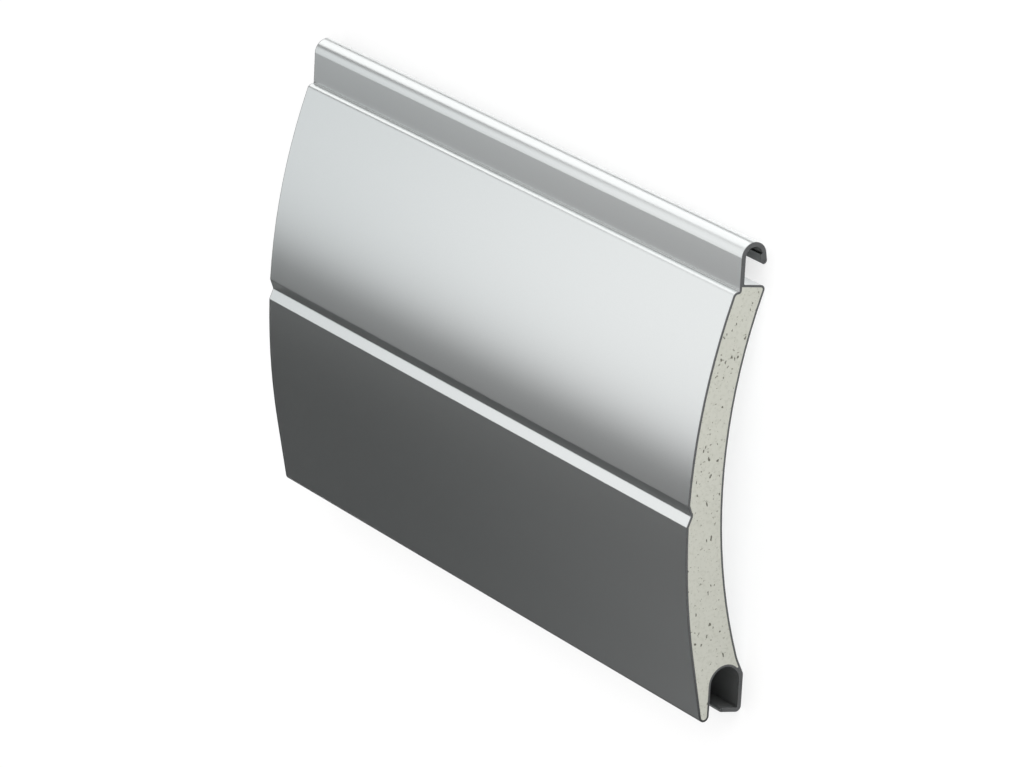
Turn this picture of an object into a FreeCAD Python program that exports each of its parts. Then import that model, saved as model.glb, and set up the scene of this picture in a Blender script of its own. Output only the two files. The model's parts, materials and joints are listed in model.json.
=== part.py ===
import FreeCAD, Part
import math
import os

os.makedirs("parts", exist_ok=True)

# Roller shutter slat: a roll-formed aluminium strip round a core of rigid foam.
# The section is drawn with depth to the back (d) and height above the nose (h), in millimetres.
# It is pushed along X, then laid on its back, with the hook towards +Y and the front face up.

# Overall sizes
slat_length = 135.0
slat_height = 87.0

# Sheet
sheet_thickness = 0.40
hem_thickness = 2.0 * sheet_thickness
lip_thickness = 3.0 * sheet_thickness
hem_eye_radius = 0.11

# Hook and neck
hook_inner_radius = 1.74
hook_outer_radius = hook_inner_radius + hem_thickness
lip_lean = 10.0
lip_length = 1.42
lip_fold_length = 1.41
lip_fold_bend = 0.08
step_drop = 8.46
step_slope = 5.0
step_length = 1.08
step_inner_bend = 0.17
step_outer_bend = 1.0

# Ledge behind the neck
ledge_drop = 7.36
ledge_slope = 8.8
ledge_root_bend = 0.25
ledge_corner_bend = 0.85

# Front face: a straight foot, a lower arc, the V-groove and an upper arc
nose_radius = 1.02
foot_lean = 12.0
foot_height = 12.3
lower_front_radius = 130.0
upper_front_radius = 119.0
groove_bottom = 37.2
groove_floor_height = 1.9
groove_roof_height = 1.94
groove_depth = 0.78
groove_rim_bend = 0.5
groove_valley_bend = 0.45

# Pocket behind the nose
pocket_front_depth = -0.77
pocket_width = 6.08
pocket_crown = 9.62
heel_foot_bend = 1.0
flange_corner_height = 0.44
flange_slope = 10.3
flange_corner_bend = 1.0
flange_tip_depth = 1.42
core_wedge_height = 9.0
core_wedge_bend = 0.1

# Back face: an arc, then a steeper heel down to the pocket's wall
back_radius = 101.6
back_top_depth = 5.31
back_top_drop = 8.6
heel_top_depth = 4.62
heel_top_height = 10.8
heel_top_bend = 8.0
heel_foot_height = 7.7


def unit(angle):
    return (math.cos(math.radians(angle)), math.sin(math.radians(angle)))


def move(point, direction, distance):
    return (point[0] + direction[0] * distance, point[1] + direction[1] * distance)


def straight(point, angle):
    return {"kind": "straight", "point": point, "way": unit(angle)}


def straight_through(start, end):
    return straight(start, math.degrees(math.atan2(end[1] - start[1], end[0] - start[0])))


def curve(centre, radius, turn):
    # turn is 1 for a curve that runs to the left and -1 for one that runs to the right
    return {"kind": "curve", "centre": centre, "radius": radius, "turn": turn}


def shifted(side, to_left):
    if side["kind"] == "straight":
        way = side["way"]
        return {"kind": "straight", "point": move(side["point"], (-way[1], way[0]), to_left), "way": way}
    return curve(side["centre"], side["radius"] - side["turn"] * to_left, side["turn"])


def heading(side, point):
    if side["kind"] == "straight":
        return side["way"]
    dx = (point[0] - side["centre"][0]) / side["radius"]
    dy = (point[1] - side["centre"][1]) / side["radius"]
    return (-dy * side["turn"], dx * side["turn"])


def foot_on(side, point):
    if side["kind"] == "straight":
        way = side["way"]
        along = (point[0] - side["point"][0]) * way[0] + (point[1] - side["point"][1]) * way[1]
        return move(side["point"], way, along)
    dx = point[0] - side["centre"][0]
    dy = point[1] - side["centre"][1]
    reach = side["radius"] / math.hypot(dx, dy)
    return (side["centre"][0] + dx * reach, side["centre"][1] + dy * reach)


def crossings(first, second):
    if first["kind"] == "curve" and second["kind"] == "straight":
        return crossings(second, first)
    if first["kind"] == "straight" and second["kind"] == "straight":
        a = first["way"]
        b = second["way"]
        dx = second["point"][0] - first["point"][0]
        dy = second["point"][1] - first["point"][1]
        along = (dx * b[1] - dy * b[0]) / (a[0] * b[1] - a[1] * b[0])
        return [move(first["point"], a, along)]
    if first["kind"] == "straight":
        base = foot_on(first, second["centre"])
        gap = math.dist(base, second["centre"])
        way = first["way"]
        half = math.sqrt(max(second["radius"] ** 2 - gap ** 2, 0.0))
        return [move(base, way, half), move(base, way, -half)]
    dx = second["centre"][0] - first["centre"][0]
    dy = second["centre"][1] - first["centre"][1]
    gap = math.hypot(dx, dy)
    along = (gap ** 2 + first["radius"] ** 2 - second["radius"] ** 2) / (2.0 * gap)
    half = math.sqrt(max(first["radius"] ** 2 - along ** 2, 0.0))
    base = move(first["centre"], (dx / gap, dy / gap), along)
    return [move(base, (-dy / gap, dx / gap), half), move(base, (dy / gap, -dx / gap), half)]


def meeting(first, second, near):
    return min(crossings(first, second), key=lambda point: math.dist(point, near))


def curve_through(start, end, radius, turn):
    middle = ((start[0] + end[0]) / 2.0, (start[1] + end[1]) / 2.0)
    chord = math.dist(start, end)
    rise = math.sqrt(radius ** 2 - (chord / 2.0) ** 2)
    way = ((end[0] - start[0]) / chord, (end[1] - start[1]) / chord)
    return curve(move(middle, (-way[1] * turn, way[0] * turn), rise), radius, turn)


def vector(point):
    # depth to the back becomes down, height becomes +Y
    return FreeCAD.Vector(0.0, point[1], -point[0])


def piece_of(side, start, end):
    if side["kind"] == "straight":
        return Part.makeLine(vector(start), vector(end))
    from_angle = math.atan2(start[1] - side["centre"][1], start[0] - side["centre"][0])
    to_angle = math.atan2(end[1] - side["centre"][1], end[0] - side["centre"][0])
    sweep = (to_angle - from_angle) * side["turn"] % (2.0 * math.pi)
    half_way = from_angle + side["turn"] * sweep / 2.0
    middle = move(side["centre"], (math.cos(half_way), math.sin(half_way)), side["radius"])
    return Part.Arc(vector(start), vector(middle), vector(end)).toShape()


def turn_between(first, second, near):
    # 1 where the way round turns left at a corner, -1 where it turns right
    corner = meeting(first, second, near)
    a = heading(first, corner)
    b = heading(second, corner)
    return 1 if a[0] * b[1] - a[1] * b[0] > 0.0 else -1


def joint(first, second, near, bend):
    # the corner between two sides: where the first one ends, the bend if any, where the second one starts
    corner = meeting(first, second, near)
    if bend < 0.001:
        return corner, None, corner
    turn = turn_between(first, second, near)
    centre = meeting(shifted(first, turn * bend), shifted(second, turn * bend), corner)
    return foot_on(first, centre), curve(centre, bend, turn), foot_on(second, centre)


def outline(corners):
    # corners holds one entry for each side: the side, a point near its end, and the bend there
    joints = []
    for index, (side, near, bend) in enumerate(corners):
        following = corners[(index + 1) % len(corners)][0]
        joints.append(joint(side, following, near, bend))
    edges = []
    for index, (side, near, bend) in enumerate(corners):
        start = joints[index - 1][2]
        end, bend_curve, after = joints[index]
        if math.dist(start, end) > 1e-6:
            edges.append(piece_of(side, start, end))
        if bend_curve:
            edges.append(piece_of(bend_curve, end, after))
    return Part.Wire(Part.__sortEdges__(edges))


def inside(corners):
    # the same corners on the inner face of the sheet, which is to the right of the way round;
    # an outer bend gets tighter there by the sheet's thickness, and an inner bend gets wider
    sides = [shifted(side, -sheet_thickness) for side, near, bend in corners]
    moved = []
    for index, (side, near, bend) in enumerate(corners):
        turn = turn_between(sides[index], sides[(index + 1) % len(sides)], near)
        inner = max(bend + turn * sheet_thickness, 0.0) if bend > 0.0 else 0.0
        moved.append((sides[index], near, inner))
    return moved


# Levels that follow from the sizes above
hook_centre = (hook_outer_radius, slat_height - hook_outer_radius)
step_height = slat_height - step_drop
ledge_height = slat_height - ledge_drop
back_top = slat_height - back_top_drop
groove_valley = groove_bottom + groove_floor_height
groove_top = groove_valley + groove_roof_height
pocket_back_depth = pocket_front_depth + pocket_width
wall_outer_depth = pocket_back_depth + hem_thickness
pocket_radius = pocket_width / 2.0
pocket_centre = (pocket_front_depth + pocket_radius, pocket_crown - pocket_radius)

# Hook and neck, going up the front of the neck, over the hook and down inside it
neck_front = straight((0.0, step_height), 90.0)
neck_back = straight((hem_thickness, ledge_height), -90.0)
hook_over = curve(hook_centre, hook_outer_radius, -1)
hook_under = curve(hook_centre, hook_inner_radius, 1)
lip_way = unit(lip_lean - 90.0)
lip_out = unit(lip_lean)
lip_back = straight(move(hook_centre, lip_out, hook_outer_radius), lip_lean - 90.0)
lip_radius = lip_thickness / 2.0
lip_end_centre = move(move(lip_back["point"], lip_way, lip_length), lip_out, -lip_radius)
lip_end = curve(lip_end_centre, lip_radius, -1)
lip_eye = move(lip_end_centre, lip_way, lip_radius - sheet_thickness - hem_eye_radius)

# At the lip the front sheet folds round the back sheet's edge, and its own edge ends inside the hook
lip_fold = straight(move(lip_back["point"], lip_out, -lip_thickness), lip_lean + 90.0)
fold_top = move(foot_on(lip_fold, lip_end_centre), lip_fold["way"], lip_fold_length)
fold_edge = straight(fold_top, lip_lean)

# Ledge, back face, and the pocket's back wall with its flange
ledge = straight((hem_thickness, ledge_height), -ledge_slope)
wall_out = straight((wall_outer_depth, 0.0), -90.0)
wall_in = straight((pocket_back_depth, 0.0), 90.0)
heel_top = (heel_top_depth, heel_top_height)
heel_foot = (wall_outer_depth, heel_foot_height)
back = curve_through((back_top_depth, back_top), heel_top, back_radius, 1)
heel = straight_through(heel_top, heel_foot)
flange_corner = (wall_outer_depth, flange_corner_height)
flange_under = straight(flange_corner, 180.0 - flange_slope)
flange_over = shifted(straight(flange_corner, -flange_slope), hem_thickness)
flange_end_at = (flange_tip_depth + sheet_thickness, flange_corner_height)
flange_middle = shifted(flange_under, -sheet_thickness)
flange_end_centre = meeting(flange_middle, straight(flange_end_at, 90.0), flange_end_at)
flange_end = curve(flange_end_centre, sheet_thickness, -1)
flange_eye = move(flange_end_centre, unit(-flange_slope), hem_eye_radius)

# Pocket crown, nose and front face
crown = curve(pocket_centre, pocket_radius, 1)
pocket_front = straight((pocket_front_depth, 0.0), -90.0)
nose_centre = (pocket_front_depth - nose_radius, nose_radius)
nose = curve(nose_centre, nose_radius, -1)
foot_way = 90.0 + foot_lean
foot_start = move(nose_centre, unit(180.0 + foot_lean), nose_radius)
front_foot = straight(foot_start, foot_way)
foot_end = meeting(front_foot, straight((0.0, foot_height), 0.0), foot_start)
lower_centre = move(foot_end, unit(foot_lean), lower_front_radius)
lower_front = curve(lower_centre, lower_front_radius, -1)
groove_low = meeting(lower_front, straight((0.0, groove_bottom), 0.0), (foot_end[0], groove_bottom))
groove_high = (groove_low[0], groove_top)
groove_deep = (groove_low[0] + groove_depth, groove_valley)
groove_floor = straight_through(groove_low, groove_deep)
groove_roof = straight_through(groove_deep, groove_high)
step = straight((0.0, step_height), step_slope)
shoulder = move((0.0, step_height), unit(step_slope), -step_length)
upper_front = curve_through(groove_high, shoulder, upper_front_radius, -1)

# The panel's sides are shared by the skin's outer face and the core
upper_panel = [
    (nose, foot_start, 0.0),
    (front_foot, foot_end, 0.0),
    (lower_front, groove_low, groove_rim_bend),
    (groove_floor, groove_deep, groove_valley_bend),
    (groove_roof, groove_high, groove_rim_bend),
    (upper_front, shoulder, step_outer_bend),
    (step, (0.0, step_height), step_inner_bend),
]
skin_corners = [
    (neck_front, (0.0, hook_centre[1]), 0.0),
    (hook_over, lip_back["point"], 0.0),
    (lip_back, foot_on(lip_back, lip_end_centre), 0.0),
    (lip_end, foot_on(lip_fold, lip_end_centre), 0.0),
    (lip_fold, fold_top, lip_fold_bend),
    (fold_edge, (hook_centre[0] + hook_inner_radius, hook_centre[1]), 0.0),
    (hook_under, (hem_thickness, hook_centre[1]), 0.0),
    (neck_back, (hem_thickness, ledge_height), ledge_root_bend),
    (ledge, (back_top_depth, back_top), ledge_corner_bend),
    (back, heel_top, heel_top_bend),
    (heel, heel_foot, heel_foot_bend),
    (wall_out, flange_corner, flange_corner_bend),
    (flange_under, foot_on(flange_under, flange_end_centre), 0.0),
    (flange_end, foot_on(flange_over, flange_end_centre), 0.0),
    (flange_over, (pocket_back_depth, flange_corner_height), flange_corner_bend - hem_thickness),
    (wall_in, (pocket_back_depth, pocket_centre[1]), 0.0),
    (crown, (pocket_front_depth, pocket_centre[1]), 0.0),
    (pocket_front, (pocket_front_depth, nose_centre[1]), 0.0),
] + upper_panel

# Between the heel and the pocket's crown the core stops where the two sheets close in on each other
core_end = shifted(straight((0.0, core_wedge_height), 180.0), sheet_thickness)
core_end_bend = core_wedge_bend + sheet_thickness
core_end_back = (pocket_back_depth, core_wedge_height)
core_corners = inside([
    (neck_front, (0.0, ledge_height), 0.0),
    (ledge, (back_top_depth, back_top), ledge_corner_bend),
    (back, heel_top, heel_top_bend),
    (heel, core_end_back, core_end_bend),
    (core_end, core_end_back, core_end_bend),
    (crown, (pocket_front_depth, pocket_centre[1]), 0.0),
    (pocket_front, (pocket_front_depth, nose_centre[1]), 0.0),
] + upper_panel)

skin_outline = outline(skin_corners)
core_outline = outline(core_corners)

# The hem's eye at the lip, and the one at the flange, stay open where the sheet turns back on itself
axis = FreeCAD.Vector(1.0, 0.0, 0.0)
eyes = [Part.Wire(Part.makeCircle(hem_eye_radius, vector(eye), axis)) for eye in (lip_eye, flange_eye)]

along = FreeCAD.Vector(slat_length, 0.0, 0.0)
core = Part.Face(core_outline).extrude(along)
skin = Part.Face(skin_outline).extrude(along).cut(core)
for eye in eyes:
    skin = skin.cut(Part.Face(eye).extrude(along))

# Lay the slat on its lip and its pocket wall, then centre it over the origin
lip_low = move(lip_end_centre, (1.0, 0.0), lip_radius)
wall_low = (wall_outer_depth, heel_foot_height)
rest_angle = math.degrees(math.atan2(wall_low[0] - lip_low[0], lip_low[1] - wall_low[1]))
origin = FreeCAD.Vector(0.0, 0.0, 0.0)
for shape in (skin, core):
    shape.rotate(origin, axis, -rest_angle)
box = skin.BoundBox
centring = FreeCAD.Vector(-box.Center.x, -box.Center.y, -box.ZMin)
for name, shape in (("aluminium_skin", skin), ("foam_core", core)):
    shape.translate(centring)
    shape.exportStep("parts/" + name + ".step")
    print(name, round(shape.Volume, 1), shape.isValid(), len(shape.Solids))
size = skin.BoundBox
print("size", round(size.XLength, 3), round(size.YLength, 3), round(size.ZLength, 3))
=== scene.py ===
import json
import math
import bpy
from mathutils import Euler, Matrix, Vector


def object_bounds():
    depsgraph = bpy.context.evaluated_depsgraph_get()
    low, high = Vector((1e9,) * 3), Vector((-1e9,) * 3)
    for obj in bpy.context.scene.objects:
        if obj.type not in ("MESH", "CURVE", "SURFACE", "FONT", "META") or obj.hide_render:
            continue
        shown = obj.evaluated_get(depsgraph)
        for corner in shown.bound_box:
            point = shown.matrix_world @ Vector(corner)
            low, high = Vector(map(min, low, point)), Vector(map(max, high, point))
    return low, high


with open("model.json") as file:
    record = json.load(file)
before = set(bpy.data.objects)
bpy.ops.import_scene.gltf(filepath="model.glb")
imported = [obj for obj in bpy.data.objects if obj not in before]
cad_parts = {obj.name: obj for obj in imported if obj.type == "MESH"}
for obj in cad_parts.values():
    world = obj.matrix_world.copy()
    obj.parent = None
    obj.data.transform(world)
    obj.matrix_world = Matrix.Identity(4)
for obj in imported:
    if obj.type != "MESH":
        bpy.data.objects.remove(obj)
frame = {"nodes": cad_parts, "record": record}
CAD_BOX = [list(corner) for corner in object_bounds()]

SCENE = bpy.context.scene
SCENE.view_settings.view_transform = "Standard"


# Shader helpers

def new_material(name):
    material = bpy.data.materials.new(name)
    material.use_nodes = True
    material.node_tree.nodes.clear()
    return material


def node(tree, kind, inputs=None, **settings):
    made = tree.nodes.new(kind)
    for key, value in settings.items():
        setattr(made, key, value)
    for key, value in (inputs or {}).items():
        if isinstance(value, bpy.types.NodeSocket):
            tree.links.new(value, made.inputs[key])
        else:
            made.inputs[key].default_value = value
    return made


def maths(tree, operation, first, second=0.5, third=0.0):
    return node(tree, "ShaderNodeMath", {0: first, 1: second, 2: third}, operation=operation).outputs[0]


def vectors(tree, operation, *values):
    return node(tree, "ShaderNodeVectorMath", dict(enumerate(values)), operation=operation).outputs


def along_axis(tree, vector, axis):
    return node(tree, "ShaderNodeSeparateXYZ", {0: vector}).outputs[axis]


def remap(tree, value, low, high, to_low=0.0, to_high=1.0, kind="LINEAR"):
    inputs = {"Value": value, "From Min": low, "From Max": high, "To Min": to_low, "To Max": to_high}
    return node(tree, "ShaderNodeMapRange", inputs, interpolation_type=kind).outputs["Result"]


def noise(tree, where, scale, detail=2.0, roughness=0.5, output="Fac"):
    inputs = {"Vector": where, "Scale": scale, "Detail": detail, "Roughness": roughness}
    return node(tree, "ShaderNodeTexNoise", inputs).outputs[output]


def stretched(tree, where, scale):
    return node(tree, "ShaderNodeMapping", {"Vector": where, "Scale": scale}).outputs["Vector"]


def blended(tree, share, first, second):
    return node(tree, "ShaderNodeMix", {0: share, 2: first, 3: second}).outputs[0]


def mixed(tree, share, first, second, kind="MIX"):
    inputs = {"Factor": share, 6: first, 7: second}
    return node(tree, "ShaderNodeMix", inputs, data_type="RGBA", blend_type=kind).outputs[2]


def bumped(tree, height, distance, strength, **base):
    inputs = {"Height": height, "Distance": distance, "Strength": strength, **base}
    return node(tree, "ShaderNodeBump", inputs).outputs["Normal"]


# Skin: satin silver sheet with painted shade in its recesses, and saw-cut edges at the two ends in a dark
# colour that is painted shade

HALF_LENGTH = CAD_BOX[1][0]
# width of a narrow rim round the ends, painted in the cut faces' dark colour as painted shade
PAINTED_RIM_WIDTH = 0.00018
MOUNTS = {mount["name"]: mount["pos_m"] for mount in frame["record"]["mounts"]}
# reach and strength of the painted shade inside the hook and the pocket, which deepens over DEPTH from the
# ends
HOOK_REACH = 0.0021
HOOK_SHADE = 0.37
POCKET_REACH = 0.0064
POCKET_SHADE = 0.57
DEPTH = 0.006
DEEP_SHADE = 0.72
SHEET_ROUGH = 0.285
HIDDEN_ROUGH = 0.55
CUT_ROUGH = 0.5
GRAIN_HEIGHT = 0.0000015
SAW_HEIGHT = 0.00002


def painted_hollow_shade(tree, where, facing, name, reach, shade):
    # painted shade on the faces that look in on a mount's line, 1 beyond its reach and on faces that look
    # away
    middle = (0.0, *MOUNTS[name][1:])
    inward = vectors(tree, "SUBTRACT", middle, where)[0]
    inward = vectors(tree, "MULTIPLY", inward, (0.0, 1.0, 1.0))[0]
    distance = vectors(tree, "LENGTH", inward)["Value"]
    near = remap(tree, distance, reach, reach * 1.3, 1.0, 0.0, kind="SMOOTHSTEP")
    towards = vectors(tree, "DOT_PRODUCT", inward, facing)["Value"]
    open_to = remap(tree, maths(tree, "DIVIDE", towards, distance), 0.0, 0.25)
    return remap(tree, maths(tree, "MULTIPLY", near, open_to), 0.0, 1.0, 1.0, shade)


def painted_occlusion_shade(tree, reach, low, high, darkest):
    # painted shade from ambient occlusion: 1 on open surfaces, down to darkest where other faces stand close
    # within reach
    openness = node(tree, "ShaderNodeAmbientOcclusion", {"Distance": reach}, samples=16, only_local=True)
    return remap(tree, openness.outputs["AO"], low, high, darkest, 1.0)


def skin_material():
    material = new_material("satin_silver_sheet")
    tree = material.node_tree
    where = node(tree, "ShaderNodeTexCoord").outputs["Object"]
    facing = node(tree, "ShaderNodeNewGeometry").outputs["True Normal"]
    place = maths(tree, "ABSOLUTE", along_axis(tree, where, "X"))

    # the sawn end faces and a narrow rim round them, in the dark cut colour that is painted shade
    cut = remap(tree, maths(tree, "ABSOLUTE", along_axis(tree, facing, "X")), 0.85, 0.95)
    painted_rim = remap(tree, place, HALF_LENGTH - PAINTED_RIM_WIDTH, HALF_LENGTH - PAINTED_RIM_WIDTH * 0.4, 0.0, 0.8)
    cut = maths(tree, "MAXIMUM", cut, painted_rim)

    # painted shade: the insides of the hook and the pocket are darker, more so away from the ends, and
    # creases too
    deeper = remap(tree, place, HALF_LENGTH - DEPTH, HALF_LENGTH, DEEP_SHADE, 1.0)
    hook_shade = maths(tree, "MULTIPLY", deeper, HOOK_SHADE)
    pocket_shade = maths(tree, "MULTIPLY", deeper, POCKET_SHADE)
    in_hook = painted_hollow_shade(tree, where, facing, "hook", HOOK_REACH, hook_shade)
    in_pocket = painted_hollow_shade(tree, where, facing, "pocket", POCKET_REACH, pocket_shade)
    painted_inside_shade = maths(tree, "MULTIPLY", in_hook, in_pocket)
    painted_crease_shade = maths(tree, "MAXIMUM", painted_occlusion_shade(tree, 0.0005, 0.65, 0.97, 0.3),
                   maths(tree, "SUBTRACT", 1.3, painted_inside_shade))
    shade = maths(tree, "MULTIPLY", painted_occlusion_shade(tree, 0.004, 0.0, 0.35, 0.85), painted_inside_shade)
    shade = maths(tree, "MULTIPLY", shade, maths(tree, "MINIMUM", painted_crease_shade, 1.0))

    grain = noise(tree, where, 3200.0)
    sheet_shade = mixed(tree, grain, (0.865, 0.887, 0.885, 1.0), (0.895, 0.917, 0.915, 1.0))
    # the painted shade of the hollows and creases darkens the sheet colour
    sheet_shade = mixed(tree, 1.0, sheet_shade, shade, kind="MULTIPLY")
    saw = noise(tree, stretched(tree, where, (400.0, 5200.0, 900.0)), 1.0)
    # the cut faces' dark colour is painted shade; the saw noise varies it
    cut_painted_shade = mixed(tree, saw, (0.092, 0.095, 0.097, 1.0), (0.152, 0.155, 0.157, 1.0))
    colour = mixed(tree, cut, sheet_shade, cut_painted_shade)

    rough = remap(tree, painted_inside_shade, 0.6, 1.0, HIDDEN_ROUGH, SHEET_ROUGH)
    rough = blended(tree, cut, rough, CUT_ROUGH)
    surface = bumped(tree, grain, GRAIN_HEIGHT, 1.0)
    surface = bumped(tree, saw, SAW_HEIGHT, cut, Normal=surface)
    shader = node(tree, "ShaderNodeBsdfPrincipled",
                  {"Base Color": colour, "Metallic": 1.0, "Roughness": rough, "Normal": surface})
    node(tree, "ShaderNodeOutputMaterial", {"Surface": shader.outputs[0]})
    return material


# Core: rigid foam, pale and dense, cut across its pores

PORE_DEPTH = 0.0002


def pores(tree, where, scale, radius, share, seed, stretch):
    # irregular hollows that gather in loose groups
    moved = vectors(tree, "ADD", stretched(tree, where, stretch), (seed, seed * 0.37, seed * 0.71))[0]
    wobble = noise(tree, moved, scale * 1.3, output="Color")
    bent = vectors(tree, "MULTIPLY_ADD", wobble, (0.9 / scale,) * 3, moved)[0]
    cells = node(tree, "ShaderNodeTexVoronoi", {"Vector": bent, "Scale": scale})
    chosen = node(tree, "ShaderNodeSeparateColor", {0: cells.outputs["Color"]})
    size = remap(tree, chosen.outputs[1], 0.0, 1.0, radius * 0.4, radius)
    inside = remap(tree, maths(tree, "DIVIDE", cells.outputs["Distance"], size), 0.75, 1.05, 1.0, 0.0)
    groups = remap(tree, noise(tree, where, 420.0, 1.0), 0.42, 0.62, 0.55, 1.45)
    kept = maths(tree, "LESS_THAN", chosen.outputs[0], maths(tree, "MULTIPLY", groups, share))
    return maths(tree, "MULTIPLY", inside, kept)


def foam_material():
    material = new_material("rigid_foam")
    tree = material.node_tree
    where = node(tree, "ShaderNodeTexCoord").outputs["Object"]
    mottle = noise(tree, where, 1500.0, 3.0, 0.6)
    clouds = noise(tree, where, 130.0)
    light = mixed(tree, clouds, (0.52, 0.525, 0.465, 1.0), (0.555, 0.558, 0.5, 1.0))
    base = mixed(tree, remap(tree, mottle, 0.32, 0.5, 0.4, 0.0), light, (0.41, 0.415, 0.355, 1.0))
    big = pores(tree, where, 1000.0, 0.27, 0.75, 1.3, (1.0, 0.62, 1.1))
    small = pores(tree, where, 1250.0, 0.22, 0.95, 2.9, (1.0, 1.1, 0.7))
    faint = pores(tree, where, 1700.0, 0.25, 0.9, 4.1, (1.0, 0.9, 1.0))
    # the dark colours mixed into the pores are painted shade in the hollows; the bump gives them their depth
    colour = mixed(tree, maths(tree, "MULTIPLY", faint, 0.4), base, (0.24, 0.24, 0.195, 1.0))
    colour = mixed(tree, maths(tree, "MULTIPLY", small, 0.75), colour, (0.2, 0.2, 0.16, 1.0))
    colour = mixed(tree, maths(tree, "MULTIPLY", big, 0.85), colour, (0.09, 0.087, 0.066, 1.0))
    deep = maths(tree, "MAXIMUM", big, maths(tree, "MULTIPLY", small, 0.6))
    height = maths(tree, "SUBTRACT", maths(tree, "MULTIPLY", mottle, 0.25), deep)
    surface = bumped(tree, height, PORE_DEPTH, 0.5)
    shader = node(tree, "ShaderNodeBsdfPrincipled",
                  {"Base Color": colour, "Roughness": 0.85, "Specular IOR Level": 0.25, "Normal": surface})
    node(tree, "ShaderNodeOutputMaterial", {"Surface": shader.outputs[0]})
    return material


def dress(name, material):
    piece = frame["nodes"][name]
    piece.data.materials.clear()
    piece.data.materials.append(material)


dress("aluminium_skin", skin_material())
dress("foam_core", foam_material())


# Studio: pale floor, even surroundings, and bright and dark cards for the sheet to mirror

WHITE = (1.0, 1.0, 1.0, 1.0)
COOL = (0.965, 1.0, 1.012, 1.0)
FLOOR_REACH = 6.0
FLOOR_HEIGHT = -0.0002
VIEWED_GLOW = 0.62
MIRRORED_GLOW = 0.4
STUDIO_FAR = -1.0
STUDIO_NEAR = 1.0
MIRRORED_X = -0.355
LAMP_HEIGHT = 0.25
LAMP_FRONT = -0.081
LAMP_BACK = 0.181
LAMP_SLANT = 0.035
GAP_BACK = 0.40
FLAG_FOOT = -0.9
FOOT_DEPTH = 0.15
BESIDE = (-0.2, 0.05)
FILL_PLACE = (0.2, 0.13, 0.12)
FILL_SIZE = 0.15
FILL_POWER = 0.14
LENS = 204.989
SENSOR = 36.0
CAMERA_PLACE = (0.81143, 0.35213, 0.57083)
CAMERA_TURN = (-16.3822, 55.8401, 4.0979)


def sheet_of(name, corners):
    mesh = bpy.data.meshes.new(name)
    mesh.from_pydata(corners, [], [(0, 1, 2, 3)])
    piece = bpy.data.objects.new(name, mesh)
    SCENE.collection.objects.link(piece)
    return piece


def floor():
    corners = [(-1, -1), (1, -1), (1, 1), (-1, 1)]
    piece = sheet_of("floor", [(FLOOR_REACH * x, FLOOR_REACH * y, FLOOR_HEIGHT) for x, y in corners])
    material = new_material("pale_floor")
    tree = material.node_tree
    rays = node(tree, "ShaderNodeLightPath").outputs
    viewed = rays["Is Camera Ray"]
    mirrored = maths(tree, "MAXIMUM", rays["Is Glossy Ray"], rays["Is Transmission Ray"])
    shade = mixed(tree, viewed, (0.7, 0.7, 0.7, 1.0), (0.4, 0.4, 0.4, 1.0))
    matt = node(tree, "ShaderNodeBsdfDiffuse", {"Color": shade})
    level = maths(tree, "MULTIPLY_ADD", viewed, VIEWED_GLOW, maths(tree, "MULTIPLY", mirrored, MIRRORED_GLOW))
    glow = node(tree, "ShaderNodeEmission", {"Strength": level})
    both = node(tree, "ShaderNodeAddShader", {0: matt.outputs[0], 1: glow.outputs[0]})
    node(tree, "ShaderNodeOutputMaterial", {"Surface": both.outputs[0]})
    piece.data.materials.append(material)


def card(name, top, foot, levels, near_level, foot_levels=None, reach=(-0.38, -0.25), slant=0.0):
    # a flat glowing card along X that only mirror-like surfaces see, between two lines, given as (y, z) where
    # they pass MIRRORED_X; its level runs over reach and then to near_level beside the slat, foot_levels
    # are those near the floor, and slant turns its first line
    corners = [(x, top[0] + slant * (x - MIRRORED_X), top[1]) for x in (STUDIO_FAR, STUDIO_NEAR)]
    corners += [(STUDIO_NEAR, *foot), (STUDIO_FAR, *foot)]
    piece = sheet_of(name, corners)
    piece.visible_camera = False
    piece.visible_shadow = False
    piece.visible_diffuse = False
    material = new_material(name)
    tree = material.node_tree
    where = node(tree, "ShaderNodeTexCoord").outputs["Object"]
    along = along_axis(tree, where, "X")
    level = remap(tree, along, *reach, *levels)
    if foot_levels:
        low_level = remap(tree, along, *reach, *foot_levels)
        lowness = remap(tree, along_axis(tree, where, "Z"), LAMP_HEIGHT, LAMP_HEIGHT - FOOT_DEPTH)
        level = blended(tree, lowness, level, low_level)
    level = blended(tree, remap(tree, along, *BESIDE), level, near_level)
    tint = mixed(tree, remap(tree, along, *reach), COOL, WHITE)
    glow = node(tree, "ShaderNodeEmission", {"Color": tint, "Strength": level})
    node(tree, "ShaderNodeOutputMaterial", {"Surface": glow.outputs[0]})
    piece.data.materials.append(material)


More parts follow.
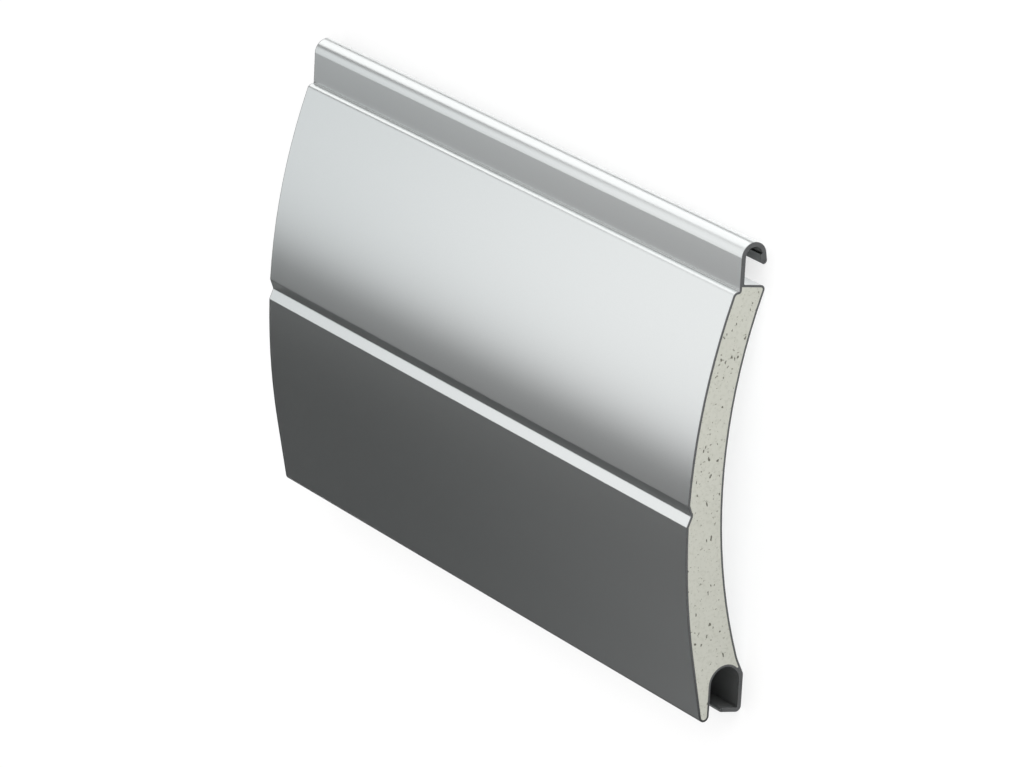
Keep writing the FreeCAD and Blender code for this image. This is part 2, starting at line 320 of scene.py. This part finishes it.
def cards():
    front = (LAMP_FRONT, LAMP_HEIGHT)
    back = (LAMP_BACK, LAMP_HEIGHT)
    gap = (GAP_BACK, LAMP_HEIGHT)
    foot = (FLAG_FOOT, 0.0)
    # the light of the upper face, and the darker and the white band along the hook
    card("softbox", front, back, (0.68, 0.985), 0.75, slant=LAMP_SLANT)
    card("back_gap", back, gap, (0.1, 1.0), 0.6, reach=(-0.45, -0.32))
    card("back_card", gap, (0.5, 0.0), (1.12, 1.12), 0.55, reach=(-2.0, -1.0))
    # the dark of the lower face and of the V-groove
    card("front_flag", front, foot, (0.045, 0.045), 0.2, foot_levels=(0.045, 0.38), slant=LAMP_SLANT)
    card("floor_flag", (-0.046, 0.0), foot, (0.05, 0.05), 0.2)
    # narrow strips by the slat, for the ledge and for the line along the back of the hook
    card("ledge_card", (0.0367, -0.0001), (0.0393, -0.0001), (1.3, 1.3), 1.0)
    card("hook_flag", (0.0457, 0.0), (0.0483, 0.0), (0.25, 0.25), 0.25)


def surroundings():
    world = bpy.data.worlds.new("studio")
    world.use_nodes = True
    tree = world.node_tree
    tree.nodes.clear()
    sky = node(tree, "ShaderNodeBackground", {"Color": WHITE, "Strength": 1.0})
    node(tree, "ShaderNodeOutputWorld", {"Surface": sky.outputs[0]})
    SCENE.world = world


def fill():
    # soft light on the cut end that faces the camera; the sheet doesn't mirror it
    lamp = bpy.data.lights.new("fill", "AREA")
    lamp.shape = "DISK"
    lamp.size = FILL_SIZE
    lamp.energy = FILL_POWER
    piece = bpy.data.objects.new("fill", lamp)
    piece.location = FILL_PLACE
    piece.rotation_euler = (-Vector(FILL_PLACE)).to_track_quat("-Z", "Y").to_euler()
    piece.visible_glossy = False
    SCENE.collection.objects.link(piece)


def camera():
    lens = bpy.data.cameras.new("camera")
    lens.sensor_width = SENSOR
    lens.lens = LENS
    lens.clip_end = 50.0
    piece = bpy.data.objects.new("camera", lens)
    piece.location = CAMERA_PLACE
    piece.rotation_euler = Euler([math.radians(angle) for angle in CAMERA_TURN], "XYZ")
    SCENE.collection.objects.link(piece)
    SCENE.camera = piece


floor()
cards()
surroundings()
fill()
camera()
